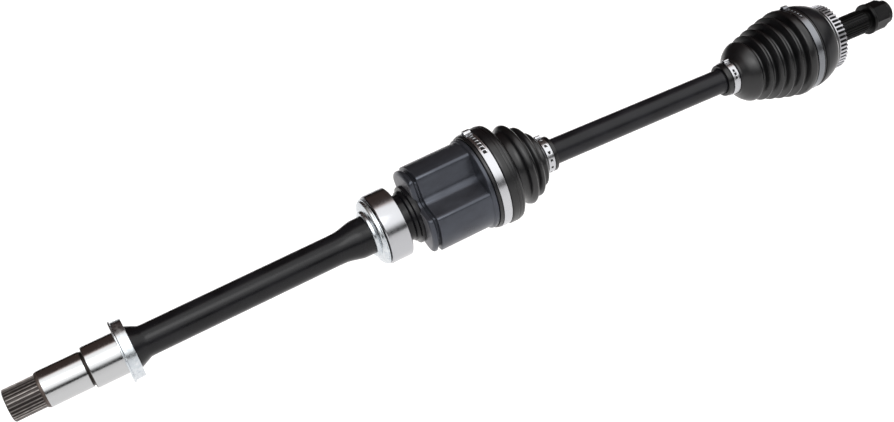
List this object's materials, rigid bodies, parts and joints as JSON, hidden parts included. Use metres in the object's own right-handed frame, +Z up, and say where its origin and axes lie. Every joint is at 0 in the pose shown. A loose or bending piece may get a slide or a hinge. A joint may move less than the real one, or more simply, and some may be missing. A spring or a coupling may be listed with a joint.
{
  "type": "cv axle",
  "caption": "Front drive axle: splined intermediate shaft with carrier bearing, sliding tripod joint under a boot, black bar, bellows boot, fixed ball joint with toothed ring, stub and nut.",
  "frame": {"origin": "centre of the carrier bearing on the intermediate shaft's axis", "axes": "+X along the intermediate shaft's axis towards the wheel; +Z up; the bar hangs 2.9 degrees below +X in the XZ plane"},
  "size_m": [0.9603, 0.0976, 0.115],
  "materials": {
    "bearing_steel": "ground, bright",
    "seal_rubber": "matte black",
    "cage_brass": "satin",
    "ball_steel": "polished",
    "shaft_steel": "turned and ground, oxide black along the neck",
    "tulip_steel": "satin blue-black phosphate",
    "zinc_plate": "zinc plated",
    "band_steel": "bright stainless band",
    "boot_rubber": "matte black",
    "bar_black": "satin black paint",
    "spider_steel": "ground",
    "roller_steel": "ground",
    "race_steel": "ground",
    "cage_steel": "ground, oiled",
    "bell_black": "satin black paint",
    "tone_steel": "pressed steel, bare teeth",
    "nut_black": "black phosphate"
  },
  "bodies": {
    "carrier": {"bearing_outer_race": "bearing_steel", "bearing_seals": "seal_rubber"},
    "bearing_cage_body": {"bearing_cage": "cage_brass", "bearing_balls": "ball_steel"},
    "shaft": {"intermediate_shaft": "shaft_steel", "tulip_housing": "tulip_steel", "dust_deflector": "zinc_plate", "bearing_inner_race": "bearing_steel", "bearing_dust_cover": "zinc_plate", "bearing_retaining_ring": "spider_steel", "inner_boot_large_clamp": "band_steel"},
    "inner_boot_body": {"inner_boot": "boot_rubber"},
    "bar": {"bar_shaft": "bar_black", "tripod_spider": "spider_steel", "spider_circlip": "spider_steel", "trunnion_needles": "ball_steel", "roller_retaining_rings": "spider_steel", "inner_boot_small_clamp": "band_steel", "outer_boot_small_clamp": "band_steel", "cv_inner_race": "race_steel", "inner_race_circlip": "spider_steel"},
    "roller_1_body": {"roller_1": "roller_steel"},
    "roller_2_body": {"roller_2": "roller_steel"},
    "roller_3_body": {"roller_3": "roller_steel"},
    "cage": {"ball_cage": "cage_steel", "cv_balls": "ball_steel", "outer_boot": "boot_rubber"},
    "hub": {"cv_outer_race": "bell_black", "abs_tone_ring": "tone_steel", "outer_boot_large_clamp": "band_steel", "hub_nut": "nut_black"}
  },
  "joints": [
    {"name": "shaft_spin", "type": "hinge", "parent": "carrier", "child": "shaft", "pos_m": [0, 0, 0], "axis": [1, 0, 0], "continuous": true},
    {"name": "bearing_cage_spin", "type": "hinge", "parent": "carrier", "child": "bearing_cage_body", "pos_m": [0, 0, 0], "axis": [1, 0, 0], "continuous": true},
    {"name": "plunge", "type": "slide", "parent": "shaft", "child": "inner_boot_body", "axis": [1, 0, 0], "range_m": [-0.01, 0.016], "deforming": ["inner_boot"]},
    {"name": "inner_bend", "type": "hinge", "parent": "inner_boot_body", "child": "bar", "pos_m": [0.062, 0, 0], "axis": [0, 1, 0], "range_deg": [-20.9, 15.1]},
    {"name": "roller_1_spin", "type": "hinge", "parent": "bar", "child": "roller_1_body", "pos_m": [0.0632, 0.00417, 0.02361], "axis": [0.0498, 0.1736, 0.9835], "continuous": true},
    {"name": "roller_2_spin", "type": "hinge", "parent": "bar", "child": "roller_2_body", "pos_m": [0.06122, 0.01838, -0.01541], "axis": [-0.0325, 0.766, -0.642], "continuous": true},
    {"name": "roller_3_spin", "type": "hinge", "parent": "bar", "child": "roller_3_body", "pos_m": [0.06159, -0.02255, -0.0082], "axis": [-0.0173, -0.9397, -0.3416], "continuous": true},
    {"name": "outer_cage_tilt", "type": "hinge", "parent": "bar", "child": "cage", "pos_m": [0.47946, 0, -0.02115], "axis": [0, 1, 0], "range_deg": [-22, 22], "deforming": ["outer_boot"]},
    {"name": "outer_bend", "type": "hinge", "parent": "cage", "child": "hub", "pos_m": [0.47946, 0, -0.02115], "axis": [0, 1, 0], "range_deg": [-22, 22]}
  ],
  "couplings": [
    {"joint": "bearing_cage_spin", "follows": "shaft_spin", "ratio": 0.4111},
    {"joint": "outer_cage_tilt", "follows": "outer_bend", "ratio": 1}
  ]
}
